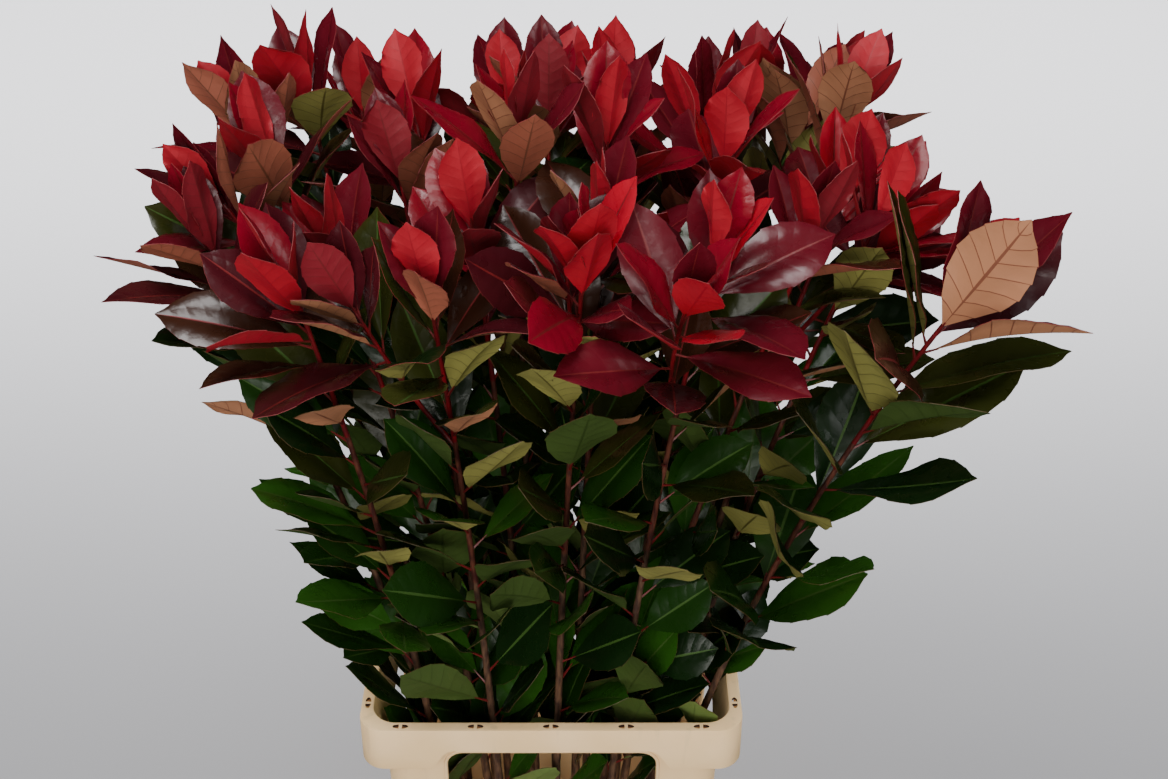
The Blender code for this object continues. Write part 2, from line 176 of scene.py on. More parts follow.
# Finer growth than in the solids
LIMB_STEPS = 48
LIMB_SIDES = 9
KNOT_SPACING = 0.041
KNOT_SWELL = 0.13  # share of the radius
KNOT_SHARPNESS = 7
BARK_RELIEF = 0.04  # share of the radius
POINT_LENGTH = 0.002
POINT_RADIUS = 0.0002
ROSETTE_LEAVES = 8
TOP_LEAF = 0.002
ROSETTE_STEP = 0.0090
STEM_LEAF_STEP = 0.024
LOWEST_LEAF = 0.270
GOLDEN_ANGLE = math.radians(137.5)
TURN_JITTER = 0.25  # radians
TRIED_SIZES = (1, 0.85, 0.7, 0.55)
TRIED_TILTS = (1, 0.8, 1.25, 0.6)
TRIED_TURNS = (0, 30, -30, 60, -60, 90, -90, 130)
LARGE_LEAVED = {"front_5": 1.35}  # the solids have 1.22
LEAVES_TURNED = {"front_5": 300}  # degrees, so that this branch's leaves reach as far right as they should

# Where under the tip a leaf starts to stand steeper, where it starts to be old, and over what lengths
GROWN_FROM = 0.07
GROWN_OVER = 0.06
OLD_FROM = 0.12
OLD_OVER = 0.25

# A leaf at the tip, and what is added down the rosette, below it, and on old wood
TILT = (9, 45, -13, 4)  # degrees from the shoot
ROLL = (12, 0, 0, 18)
FOLD = (42, 0, 0, -22)
LENGTH = (0.084, 0.035, 0, -0.013)
STALK = (0.004, 0.007, 0, 0.004)
WIDTH = (0.50, 0, 0, 0.06)  # share of the length
BEND = (0, 0.40, -0.26, 0.10)
LEAST_BEND = -0.16
ROOT_SUNK = 0.6  # share of the stem's radius at which a stalk starts
BLUNTNESS = 1.08
FOLDED_BLUNTER = 0.12
STALK_RADII = (0.0016, 0.0011, 0.0008)
STALK_SIDES = 5
STALK_INTO_STEM = 0.002
STALK_UNDER_BLADE = 0.006

# How much sooner or later a whole branch, and one leaf on it, turns from red to green
BRANCH_AGE_SPREAD = 0.030
LEAF_AGE_SPREAD = 0.012

# The room that a leaf needs. It is tested on a rough blade, with three places across each station.
ROUGH_STATIONS = (0.12, 0.35, 0.6, 0.82, 1.0)
ROUGH_ACROSS = (-1, 0, 1)
ROUGH_FACES = [
    (3 * row + column, 3 * row + column + 1, 3 * row + column + 4, 3 * row + column + 3)
    for row in range(len(ROUGH_STATIONS) - 1)
    for column in range(len(ROUGH_ACROSS) - 1)
]
ROUGH_LIMB_STEP = 3
ROUGH_LIMB_SIDES = 6
COMPARED_WITHIN = 0.1309  # leaves with their middles further apart aren't compared
AIR = 0.0008
WALL_MARGIN = 0.002
FUNNEL_SLOPE = 0.3
LOW_TOP = 0.550  # leaves under this height hardly spread past the rim
LOW_SPREAD = 0.030
LOW_MIDDLE = 0.012
REACH_PAST = 0.014

# The bark changes this far below the tip, from old to young and from young to a red shoot
YOUNG_BARK_FROM = 0.36
RED_BARK_FROM = 0.17

# A blade's grid: stations along it, with a thin pair at each side vein, and places across it
VEINS = 8
VEIN_SHARE = 0.065  # of a vein's pitch
VEIN_SLANT = 0.60
ACROSS = (-1, -0.7, -0.36, -0.045, 0.045, 0.36, 0.7, 1)
BLADE_THICKNESS = 0.00045
QUILTING = 0.0050  # share of the length
EDGE_TEETH = 0.020  # share of the half width

# How strongly red and green leaves reflect
RED_SHEEN = 0.42
GREEN_SHEEN = 0.30

# Leaf colours by name, as red, green and blue from 0 to 255
TOP_COLOURS = {
    "scarlet_top": (150, 12, 32),
    "crimson_top": (112, 10, 27),
    "wine_top": (80, 11, 23),
    "maroon_top": (56, 11, 18),
    "bronze_top": (44, 22, 12),
    "olive_top": (38, 42, 12),
    "green_top": (19, 46, 9),
    "deep_green_top": (11, 30, 7),
    "fresh_green_top": (32, 70, 15),
}
UNDER_COLOURS = {
    "scarlet_under": (156, 18, 34),
    "crimson_under": (114, 18, 30),
    "salmon_under": (146, 82, 62),
    "tan_under": (156, 106, 76),
    "olive_under": (128, 124, 64),
    "pale_green_under": (96, 116, 58),
    "dull_green_under": (56, 74, 30),
}
RIB_COLOURS = {
    "red_rib": (96, 22, 24),
    "green_rib": (52, 80, 30),
    "scarlet_vein": (142, 18, 32),
    "wine_vein": (100, 22, 28),
    "tan_vein": (110, 64, 46),
    "olive_vein": (84, 78, 36),
    "green_vein": (46, 62, 24),
    "pale_green_vein": (78, 98, 46),
}
VEINS_OF_UNDERSIDES = {
    "scarlet_under": "scarlet_vein",
    "crimson_under": "wine_vein",
    "salmon_under": "tan_vein",
    "tan_under": "tan_vein",
    "olive_under": "olive_vein",
    "pale_green_under": "pale_green_vein",
    "dull_green_under": "green_vein",
}
# Leaf margins: a rose or tan margin tint, paler than the blade as a painted highlight line along the edge
EDGE_AND_HIGHLIGHT_COLOURS = {
    "rose_edge_highlight": (112, 36, 38),
    "tan_edge_highlight": (74, 56, 30),
}
# How far below the tip a leaf is, at most, and which tops and undersides it may then have
AGES = (
    (0.014, ("crimson_top", "scarlet_top", "wine_top"), ("scarlet_under",)),
    (0.034, ("wine_top", "crimson_top", "wine_top"), ("scarlet_under", "crimson_under")),
    (0.054, ("wine_top", "crimson_top", "maroon_top"), ("salmon_under", "scarlet_under", "tan_under")),
    (0.074, ("maroon_top", "wine_top", "bronze_top"), ("tan_under", "salmon_under", "tan_under")),
    (0.105, ("bronze_top", "maroon_top", "olive_top"), ("tan_under", "olive_under", "salmon_under")),
    (0.165, ("olive_top", "bronze_top", "deep_green_top"), ("olive_under", "tan_under", "olive_under")),
    (0.290, ("green_top", "deep_green_top", "olive_top"), ("olive_under", "tan_under", "dull_green_under")),
    (0.400, ("green_top", "deep_green_top", "fresh_green_top"), ("dull_green_under", "olive_under")),
    (9.000, ("green_top", "deep_green_top", "fresh_green_top"), ("dull_green_under", "pale_green_under")),
)
ROSE_EDGE_ABOVE = 0.11  # how far below the tip leaf edges stop being rose

# Bark noise is drawn out along the stem
BARK_STRETCH = (1, 1, 0.3)


def linear(colour):
    """A colour from 0 to 255 on screen as the shader's linear values."""
    return tuple((c / 255 / 12.92 if c <= 10 else ((c / 255 + 0.055) / 1.055) ** 2.4) for c in colour) + (1,)


def new_material(name, colour, roughness, coat=0.0):
    made = bpy.data.materials.new(name)
    made.use_nodes = True
    shader = made.node_tree.nodes["Principled BSDF"]
    shader.inputs["Base Color"].default_value = linear(colour)
    shader.inputs["Roughness"].default_value = roughness
    shader.inputs["Coat Weight"].default_value = coat
    shader.inputs["Coat Roughness"].default_value = 0.18
    return made


def speckled(name, colours, scale, roughness, bump=0.0, stretch=(1, 1, 1)):
    """A material whose colour runs between two by a noise in the object's own coordinates."""
    made = new_material(name, colours[0], roughness)
    tree = made.node_tree
    shader = tree.nodes["Principled BSDF"]
    place = tree.nodes.new("ShaderNodeTexCoord")
    spread = tree.nodes.new("ShaderNodeMapping")
    spread.inputs["Scale"].default_value = stretch
    noise = tree.nodes.new("ShaderNodeTexNoise")
    noise.inputs["Scale"].default_value = scale
    noise.inputs["Detail"].default_value = 4
    ramp = tree.nodes.new("ShaderNodeValToRGB")
    ramp.color_ramp.elements[0].position = 0.38
    ramp.color_ramp.elements[1].position = 0.66
    ramp.color_ramp.elements[0].color = linear(colours[0])
    ramp.color_ramp.elements[1].color = linear(colours[1])
    tree.links.new(place.outputs["Object"], spread.inputs["Vector"])
    tree.links.new(spread.outputs["Vector"], noise.inputs["Vector"])
    tree.links.new(noise.outputs["Fac"], ramp.inputs["Fac"])
    tree.links.new(ramp.outputs["Color"], shader.inputs["Base Color"])
    if bump:
        relief = tree.nodes.new("ShaderNodeBump")
        relief.inputs["Strength"].default_value = bump
        relief.inputs["Distance"].default_value = 0.001
        tree.links.new(noise.outputs["Fac"], relief.inputs["Height"])
        tree.links.new(relief.outputs["Normal"], shader.inputs["Normal"])
    return made


def leaf_material(name, colour, roughness, coat=0.0):
    """A plain base colour with a fine grain, duller in patches, and less sheen on older, greener leaves."""
    made = new_material(name, colour, roughness, coat)
    tree = made.node_tree
    shader = tree.nodes["Principled BSDF"]
    shader.inputs["Specular IOR Level"].default_value = RED_SHEEN if colour[0] > colour[1] else GREEN_SHEEN
    place = tree.nodes.new("ShaderNodeTexCoord")
    patches = tree.nodes.new("ShaderNodeTexNoise")
    patches.inputs["Scale"].default_value = 45
    dulness = tree.nodes.new("ShaderNodeMapRange")
    dulness.inputs["To Min"].default_value = roughness - 0.10
    dulness.inputs["To Max"].default_value = roughness + 0.14
    grain = tree.nodes.new("ShaderNodeTexNoise")
    grain.inputs["Scale"].default_value = 190
    relief = tree.nodes.new("ShaderNodeBump")
    relief.inputs["Strength"].default_value = 0.35
    relief.inputs["Distance"].default_value = 0.0007
    tree.links.new(place.outputs["Object"], patches.inputs["Vector"])
    tree.links.new(place.outputs["Object"], grain.inputs["Vector"])
    tree.links.new(patches.outputs["Fac"], dulness.inputs["Value"])
    tree.links.new(dulness.outputs["Result"], shader.inputs["Roughness"])
    tree.links.new(grain.outputs["Fac"], relief.inputs["Height"])
    tree.links.new(relief.outputs["Normal"], shader.inputs["Normal"])
    return made


def array_mesh(name, points, quads, slots, materials):
    """An object from arrays: points, four-cornered faces, each face's material slot, and the materials."""
    mesh = bpy.data.meshes.new(name)
    mesh.vertices.add(len(points))
    mesh.vertices.foreach_set("co", np.asarray(points, dtype=np.float32).ravel())
    mesh.loops.add(4 * len(quads))
    mesh.loops.foreach_set("vertex_index", np.asarray(quads, dtype=np.int32).ravel())
    mesh.polygons.add(len(quads))
    mesh.polygons.foreach_set("loop_start", np.arange(0, 4 * len(quads), 4, dtype=np.int32))
    mesh.update(calc_edges=True)
    for material in materials:
        mesh.materials.append(material)
    mesh.polygons.foreach_set("material_index", np.asarray(slots, dtype=np.int32))
    mesh.shade_smooth()
    mesh.set_sharp_from_angle(angle=math.radians(60))
    obj = bpy.data.objects.new(name, mesh)
    bpy.context.scene.collection.objects.link(obj)
    return obj


def bezier(foot, knee, tip, t):
    return (1 - t) ** 2 * foot + 2 * t * (1 - t) * knee + t * t * tip


class Branch:
    """One cut branch: where it stands, how it bows outwards, and its side shoot if it has one."""

    def __init__(self, row, place, chance):
        name, foot_y, tip_y, tip_z, first_x, last_x, count = row
        across = place / (count - 1)
        foot_x = (2 * across - 1) * FOOT_HALF_SPREAD
        tip_x = first_x + across * (last_x - first_x)
        self.label = f"{name}_{place + 1}"
        self.foot = Vector((foot_x, foot_y, TUB_FLOOR + CLEAR))
        self.knee = Vector((foot_x * KNEE_SPREAD, foot_y * KNEE_SPREAD, KNEE_HEIGHT))
        tip = (
            tip_x + chance.uniform(-TIP_JITTER, TIP_JITTER),
            tip_y + chance.uniform(-TIP_JITTER, TIP_JITTER),
            tip_z - TIP_FALL * abs(tip_x) + chance.uniform(-HEIGHT_JITTER, HEIGHT_JITTER),
        )
        self.tip = Vector(LEADERS.get(self.label, tip))
        self.forked = self.label in FORKED
        self.fork_turn = math.radians(FORK_TURN) * (-1) ** place
        self.leaf_turn = chance.uniform(0, 2 * math.pi)

    def at(self, t):
        return bezier(self.foot, self.knee, self.tip, t)

    def at_height(self, height):
        """The share of the way along the branch at which it reaches a height, by halving."""
        low, high = 0.0, 1.0
        for _ in range(30):
            middle = (low + high) / 2
            if self.at(middle).z < height:
                low = middle
            else:
                high = middle
        return low

    def lines(self):
        """The branch's whole line and its side shoot's, as lists of (point, radius)."""
        shares = [k / LIMB_STEPS for k in range(LIMB_STEPS + 1)]
        found = [[(self.at(t), STEM_RADIUS - STEM_TAPER * t) for t in shares]]
        if self.forked:
            found.append(self.side_shoot())
        return found

    def side_shoot(self):
        fork = self.at(self.at_height(self.tip.z - FORK_DROP))
        outward = Vector((self.tip.x, self.tip.y, 0)).normalized()
        side = Vector((
            outward.x * math.cos(self.fork_turn) - outward.y * math.sin(self.fork_turn),
            outward.x * math.sin(self.fork_turn) + outward.y * math.cos(self.fork_turn),
            0,
        ))
        end = self.tip + side * FORK_REACH - Vector((0, 0, FORK_LOWER))
        knee = fork + side * FORK_KNEE_OUT + Vector((0, 0, FORK_KNEE_UP))
        steps = LIMB_STEPS // 4
        shares = [k / steps for k in range(steps + 1)]
        return [(bezier(fork, knee, end, t), FORK_RADIUS * (1 - 0.35 * t)) for t in shares]


@dataclass
class Leaf:
    """One leaf: where its stalk starts, which way it reaches, and how its blade is shaped."""

    root: Vector
    reach: Vector
    upper: Vector
    stalk: float
    length: float
    width: float
    fold: float
    bend: float
    twist: float
    wave: float
    blunt: float
    below: float  # the distance below the tip that its colours go by
    owner: int  # the number of its branch


def outline(u, blunt):
    """A blade's half width at a station along it, as a share of the widest: rounded, with a drawn-out tip."""
    u = np.clip(u, 0, 1)
    sine = np.sin(np.pi * np.maximum(u, 1e-4) ** blunt).clip(0, 1)
    power = np.where(u < 0.5, 0.85, 0.66) + 0.55 * u**10
    return np.maximum(sine**power, 0.018)


def blades(leaves, along, across, quilt):
    """The leaves' middle surfaces: an array of leaf, station, place across, and XYZ."""
    values = {
        name: np.array([getattr(leaf, name) for leaf in leaves])[:, None, None]
        for name in ("length", "width", "fold", "bend", "twist", "wave", "blunt", "stalk")
    }
    root, reach, upper = (
        np.array([tuple(getattr(leaf, name)) for leaf in leaves])[:, None, None, :]
        for name in ("root", "reach", "upper")
    )
    side = np.cross(reach, upper)
    length, bend = values["length"], values["bend"]
    u = np.asarray(along, dtype=float)[None, :, None]
    v = np.asarray(across, dtype=float)[None, None, :]
    slant = VEIN_SLANT * abs(v) * values["width"] / 2 * outline(u, values["blunt"])
    station = np.minimum(u + slant, 1)
    half = values["width"] * length / 2 * outline(station, values["blunt"])
    teeth = np.where(np.arange(len(along)) % 3 == 2, 1 + EDGE_TEETH, 1 - EDGE_TEETH)[None, :, None]
    half = half * np.where(abs(v) == 1, teeth, 1)
    fold = values["fold"] * (1.15 - 0.8 * abs(v)) * (1 - 0.35 * station)
    beside = half * v * np.cos(fold)
    height = half * abs(v) * np.sin(fold)
    height = height + values["wave"] * half * np.sin(9 * station + 40 * values["wave"]) * v**2 * np.sign(v)
    height = height + np.asarray(quilt)[None, :, None] * length * (1 - abs(v) ** 3) * (abs(v) > 0.1)
    turn = values["twist"] * station
    beside, height = (
        beside * np.cos(turn) - height * np.sin(turn),
        beside * np.sin(turn) + height * np.cos(turn),
    )
    angle = bend * station
    forward = (values["stalk"] + length * np.sin(angle) / bend)[..., None]
    drop = (length * (1 - np.cos(angle)) / bend)[..., None]
    normal = np.sin(angle)[..., None] * reach + np.cos(angle)[..., None] * upper
    return root + forward * reach - drop * upper + beside[..., None] * side + height[..., None] * normal


def fine_stations():
    """Stations along a blade, three for each side vein, and how far each is quilted up or down."""
    stations, quilt = [0.0], [0.0]
    for k in range(1, VEINS):
        for step, lift in ((-0.5 * VEIN_SHARE, -1), (0.5 * VEIN_SHARE, -1), (0.5, 1)):
            stations.append((k + step) / VEINS)
            quilt.append(lift * QUILTING)
    stations[-1] = 1.0
    quilt[-1] = 0.0
    return stations, quilt


def tube(line, sides):
    """Points and faces of a limb round a line of (point, radius)."""
    points = []
    for k, (point, radius) in enumerate(line):
        along = (line[min(k + 1, len(line) - 1)][0] - line[max(k - 1, 0)][0]).normalized()
        first = along.orthogonal().normalized()
        second = along.cross(first)
        for side in range(sides):
            angle = 2 * math.pi * side / sides
            points.append(point + radius * (math.cos(angle) * first + math.sin(angle) * second))
    faces = []
    for ring in range(len(line) - 1):
        for side in range(sides):
            after = (side + 1) % sides
            below, above = ring * sides, (ring + 1) * sides
            faces.append((below + side, below + after, above + after, above + side))
    return points, faces


def limb_tree(branch):
    points, faces = [], []
    for line in branch.lines():
        thick = [(point, radius + AIR) for point, radius in line[::ROUGH_LIMB_STEP]]
        more_points, more_faces = tube(thick, ROUGH_LIMB_SIDES)
        faces += [tuple(corner + len(points) for corner in face) for face in more_faces]
        points += more_points
    return BVHTree.FromPolygons(points, faces)


class Room:
    """Tells whether a rough blade is clear of the crate, of other branches and of earlier leaves near it."""

    def __init__(self, branches):
        self.limbs = [limb_tree(branch) for branch in branches]
        self.leaves = []

    def holds(self, leaf):
        points = blades([leaf], ROUGH_STATIONS, ROUGH_ACROSS, [0] * len(ROUGH_STATIONS))[0].reshape(-1, 3)
        if not (clear_of_crate(points) and within_reach(points)):
            return False
        corners = [Vector(point) for point in points]
        tree = BVHTree.FromPolygons(corners, ROUGH_FACES)
        if any(tree.overlap(limb) for owner, limb in enumerate(self.limbs) if owner != leaf.owner):
            return False
        middle = corners[len(corners) // 2]
        near = [other for centre, other in self.leaves if (centre - middle).length < COMPARED_WITHIN]
        if any(tree.overlap(other) for other in near):
            return False
        self.leaves.append((middle, tree))
        return True


def within_reach(points):
    """Whether a leaf stays about as far out as the solids reach."""
    low, high = (np.array(corner) for corner in cad_box)
    return ((points > low - REACH_PAST) & (points < high + REACH_PAST)).all()


def clear_of_crate(points):
    """Whether a leaf stays inside the collar under its rim, and spreads little past it just above."""
    below = RIM_TOP + WALL_MARGIN - points[:, 2]
    inset = np.where(below > 0, FLANGE_WIDTH + WALL_MARGIN + FUNNEL_SLOPE * np.clip(below, 0, FUNNEL_DROP), 0)
    beside = np.where(below > 0, abs(points[:, 0]), abs(points[:, 0] - LOW_MIDDLE) - LOW_SPREAD)
    outside = (beside > RIM_LENGTH / 2 - inset) | (abs(points[:, 1]) > RIM_DEPTH / 2 - inset)
    return not (outside & (points[:, 2] < LOW_TOP)).any()


def along_line(line, distance):
    """The point at a distance back from a line's end, the line's direction there, and its radius."""
    left = distance
    for (low, thick), (high, _) in zip(line[-2::-1], line[:0:-1]):
        span = (high - low).length
        if left <= span:
            return high.lerp(low, left / span), (high - low).normalized(), thick
        left -= span
    return None


def leaf_wishes(branches, chance):
    """Where each leaf would grow: (distance below its tip, branch number, line, turn), youngest first."""
    wishes = []
    for number, branch in enumerate(branches):
        for order, line in enumerate(branch.lines()):
            lowest = LOWEST_LEAF if order == 0 else branch.tip.z - FORK_BARE_BELOW
            distance = TOP_LEAF
            for k in itertools.count():
                found = along_line(line, distance)
                if found is None or found[0].z < lowest:
                    break
                turn = branch.leaf_turn + order + k * GOLDEN_ANGLE + chance.uniform(-TURN_JITTER, TURN_JITTER)
                turn += math.radians(LEAVES_TURNED.get(branch.label, 0))
                wishes.append((distance, number, line, turn))
                if k < ROSETTE_LEAVES - 1:
                    distance += ROSETTE_STEP
                else:
                    distance += STEM_LEAF_STEP * chance.uniform(0.8, 1.2)
    return sorted(wishes, key=lambda wish: wish[:2])


def share_of(distance, start, over):
    """How much of a stretch below the tip a distance has covered, from 0 to 1."""
    return min(max(distance - start, 0) / over, 1)


def by_age(values, ages):
    return sum(value * age for value, age in zip(values, ages))


def grow_leaf(wish, tilt_share, extra_turn, size, look):
    """The leaf of a wish, as one try at its tilt, turn and size."""
    distance, number, line, turn = wish
    point, along, thick = along_line(line, distance)
    turn += extra_turn
    ages = (
        1,
        share_of(distance, 0, ROSETTE_STEP * (ROSETTE_LEAVES - 1)),
        share_of(distance, GROWN_FROM, GROWN_OVER),
        share_of(distance, OLD_FROM, OLD_OVER),
    )
    tilt = math.radians(by_age(TILT, ages)) * tilt_share * look["tilt"]
    first = along.orthogonal().normalized()
    outward = math.cos(turn) * first + math.sin(turn) * along.cross(first)
    reach = math.cos(tilt) * along + math.sin(tilt) * outward
    upper = math.sin(tilt) * along - math.cos(tilt) * outward
    roll = math.radians(by_age(ROLL, ages)) * look["roll"]
    upper = math.cos(roll) * upper + math.sin(roll) * reach.cross(upper)
    return Leaf(
        root=point + outward * thick * ROOT_SUNK,
        reach=reach,
        upper=upper,
        stalk=by_age(STALK, ages),
        length=by_age(LENGTH, ages) * size * look["length"],
        width=by_age(WIDTH, ages) + look["width"],
        fold=math.radians(by_age(FOLD, ages)) * look["fold"],
        bend=by_age(BEND, ages) * look["bend"] + LEAST_BEND,
        twist=look["twist"],
        wave=look["wave"],
        blunt=BLUNTNESS + FOLDED_BLUNTER * look["fold"],
        below=distance + look["age"],
        owner=number,
    )


def grow_leaves(branches, chance):
    """Each leaf that finds room, tried at other tilts, turns and smaller sizes before it is left out."""
    room = Room(branches)
    redness = [chance.uniform(-BRANCH_AGE_SPREAD, BRANCH_AGE_SPREAD) for _ in branches]
    leaves = []
    for wish in leaf_wishes(branches, chance):
        look = {
            "tilt": chance.uniform(0.65, 1.3),
            "length": chance.uniform(0.86, 1.10) * LARGE_LEAVED.get(branches[wish[1]].label, 1),
            "width": chance.uniform(-0.03, 0.04),
            "fold": chance.uniform(0.55, 1.25),
            "bend": chance.uniform(0.0, 2.0),
            "twist": chance.uniform(-0.5, 0.5),
            "wave": chance.uniform(0.02, 0.14),
            "age": redness[wish[1]] + chance.uniform(-LEAF_AGE_SPREAD, LEAF_AGE_SPREAD),
            "roll": chance.gauss(0, 1),
        }
        for size, share, extra in itertools.product(TRIED_SIZES, TRIED_TILTS, TRIED_TURNS):
            leaf = grow_leaf(wish, share, math.radians(extra), size, look)
            if room.holds(leaf):
                leaves.append(leaf)
                break
    return leaves


def leaf_colours(leaf, chance):
    """The names of a leaf's top, underside, midrib, vein and edge colours, by its distance below the tip; the
    edge colour is the margin's own tint made paler as a painted highlight.
    """
    tops, unders = next((tops, unders) for limit, tops, unders in AGES if leaf.below < limit)
    top, under = chance.choice(tops), chance.choice(unders)
    rib = "green_rib" if "green" in top or top == "olive_top" else "red_rib"
    edge = "rose_edge_highlight" if leaf.below < ROSE_EDGE_ABOVE else "tan_edge_highlight"
    return top, under, rib, VEINS_OF_UNDERSIDES[under], edge


def blade_faces(rows, columns):
    """One blade's faces, top, underside and rim, and each one's kind: top, underside, midrib, vein or rim."""
    grid = np.arange(rows * columns).reshape(rows, columns)
    low, high = grid[:-1], grid[1:]
    below = rows * columns
    top = np.stack([low[:, :-1], high[:, :-1], high[:, 1:], low[:, 1:]], axis=-1)
    under = top[..., [0, 3, 2, 1]] + below
    ring = np.concatenate([grid[:, 0], grid[-1, 1:], grid[-2::-1, -1], grid[0, -2:0:-1]])
    after = np.roll(ring, -1)
    rim = np.stack([ring, after, after + below, ring + below], axis=-1)
    midrib = np.zeros((rows - 1, columns - 1), dtype=bool)
    midrib[:, (columns - 1) // 2] = True
    vein = midrib.copy()
    vein[1::3] = True
    kinds = [np.where(midrib, 2, 0).ravel(), np.where(vein, 3, 1).ravel(), np.full(len(ring), 4)]
    return np.concatenate([top.reshape(-1, 4), under.reshape(-1, 4), rim]), np.concatenate(kinds)


def leaf_stalks(leaves, first):
    """Points and faces of the leaves' stalks, their corners numbered from the first."""
    points, faces = [], []
    for leaf in leaves:
        start = leaf.root - leaf.reach * STALK_INTO_STEM
        end = leaf.root + leaf.reach * (leaf.stalk + STALK_UNDER_BLADE)
        middle = leaf.root.lerp(end, 0.5)
        line = list(zip((start, middle, end), STALK_RADII))
        more_points, more_faces = tube(line, STALK_SIDES)
        base = first + len(points)
        faces += [tuple(corner + base for corner in face) for face in more_faces]
        points += [tuple(point) for point in more_points]
    return np.array(points), np.array(faces)


def leaf_mesh(name, leaves, palette, chance):
    """One object for many leaves: blades with a top, an underside and a rim, and their stalks."""
    stations, quilt = fine_stations()
    middle = blades(leaves, stations, ACROSS, quilt)
    upper = np.array([tuple(leaf.upper) for leaf in leaves])[:, None, None, :]
    top = (middle + upper * BLADE_THICKNESS / 2).reshape(len(leaves), -1, 3)
    under = (middle - upper * BLADE_THICKNESS / 2).reshape(len(leaves), -1, 3)
    points = np.concatenate([top, under], axis=1)
    faces, kinds = blade_faces(len(stations), len(ACROSS))
    names = list(palette)
    slots = np.empty((len(leaves), len(faces)), dtype=np.int32)
    for number, leaf in enumerate(leaves):
        own = np.array([names.index(colour) for colour in leaf_colours(leaf, chance)])
        slots[number] = own[kinds]
    offsets = (np.arange(len(leaves)) * points.shape[1])[:, None, None]
    quads = (faces[None] + offsets).reshape(-1, 4)
    points = points.reshape(-1, 3)
    stalk_points, stalk_faces = leaf_stalks(leaves, len(points))
    stalk_slots = np.full(len(stalk_faces), names.index("red_rib"))
    return array_mesh(
        name,
        np.concatenate([points, stalk_points]),
        np.concatenate([quads, stalk_faces]),
        np.concatenate([slots.ravel(), stalk_slots]),
        list(palette.values()),
    )


def bark_mesh(name, branches, materials, chance):
    """The row's stems and shoots with even knots and small relief: old bark below, young and red above."""
    points, quads, slots = [], [], []
    for branch in branches:
        for line in branch.lines():
            gone = 0.0
            rough = []
            for k, (point, radius) in enumerate(line):
                gone += (point - line[k - 1][0]).length if k else 0
                knot = math.exp(-(((gone / KNOT_SPACING) % 1 - 0.5) * KNOT_SHARPNESS) ** 2)
                rough.append((point, radius * (1 + KNOT_SWELL * knot)))
            rough.append((rough[-1][0] + Vector((0, 0, POINT_LENGTH)), POINT_RADIUS))
            more_points, more_faces = tube(rough, LIMB_SIDES)
            base = len(points)
            for number, point in enumerate(more_points):
                centre = rough[number // LIMB_SIDES][0]
                points.append(centre + (point - centre) * (1 + chance.uniform(-BARK_RELIEF, BARK_RELIEF)))
            for face in more_faces:
                height = more_points[face[0]].z
                quads.append(tuple(corner + base for corner in face))
                below = branch.tip.z - height
                slots.append(0 if below > YOUNG_BARK_FROM else 1 if below > RED_BARK_FROM else 2)
    return array_mesh(name, [tuple(p) for p in points], quads, slots, materials)


def rounded_outline(inset):
    half_x = RIM_LENGTH / 2 - inset - CORNER_RADIUS
    half_y = RIM_DEPTH / 2 - inset - CORNER_RADIUS
    points = []
    for quarter, (side_x, side_y) in enumerate(((1, 1), (-1, 1), (-1, -1), (1, -1))):
        for step in range(CORNER_STEPS + 1):
            angle = math.pi / 2 * (quarter + step / CORNER_STEPS)
            x = side_x * half_x + CORNER_RADIUS * math.cos(angle)
            y = side_y * half_y + CORNER_RADIUS * math.sin(angle)
            points.append((x, y))
    return points


def softened(profile, closed, radius=EDGE_ROUND):
    """The profile with each corner replaced by three points of a small round."""
    points = []
    count = len(profile)
    for k, corner in enumerate(profile):
        here = Vector(corner)
        if not closed and k in (0, count - 1):
            points.append(tuple(here))
            continue
        before = Vector(profile[k - 1]) - here
        after = Vector(profile[(k + 1) % count]) - here
        room = min(radius, 0.45 * before.length, 0.45 * after.length)
        start = here + before.normalized() * room
        end = here + after.normalized() * room
        points += [tuple(start), tuple((start + end) * 0.25 + here * 0.5), tuple(end)]
    return points


def loft(name, profile, closed):
    """A wall that carries the profile's (inset, height) points round the outline."""
    points = [(x, y, height) for inset, height in profile for x, y in rounded_outline(inset)]
    count = len(rounded_outline(0))
    rings = len(profile)
    faces = []
    for ring in range(rings if closed else rings - 1):
        below, above = ring * count, (ring + 1) % rings * count
        for k in range(count):
            after = (k + 1) % count
            faces.append((below + k, below + after, above + after, above + k))
    if not closed:
        faces.append(tuple(range(count)))
        faces.append(tuple(range((rings - 1) * count, rings * count)))
    return solid(name, points, faces)


def solid(name, points, faces):
    mesh = bpy.data.meshes.new(name)
    mesh.from_pydata([tuple(p) for p in points], [], faces)
    shape = bmesh.new()
    shape.from_mesh(mesh)
    bmesh.ops.recalc_face_normals(shape, faces=shape.faces)
    shape.to_mesh(mesh)
    shape.free()
    obj = bpy.data.objects.new(name, mesh)
    bpy.context.scene.collection.objects.link(obj)
    return obj


def prism(section, span, turned):
    """A cutter: a section of (across, height) points drawn out over a span along Y or, turned, along X."""
    points = [(across, depth, height) for depth in span for across, height in section]
    if turned:
        points = [(y, -x, z) for x, y, z in points]
    count = len(section)
    sides = [(k, (k + 1) % count, count + (k + 1) % count, count + k) for k in range(count)]
    return solid("cutter", points, [*sides, tuple(range(count)), tuple(range(count, 2 * count))])


def cut(obj, cutter):
    modifier = obj.modifiers.new("cut", "BOOLEAN")
    modifier.operation = "DIFFERENCE"
    modifier.object = cutter
    modifier.material_mode = "TRANSFER"
    graph = bpy.context.evaluated_depsgraph_get()
    obj.data = bpy.data.meshes.new_from_object(obj.evaluated_get(graph))
    obj.modifiers.clear()
    bpy.data.objects.remove(cutter)


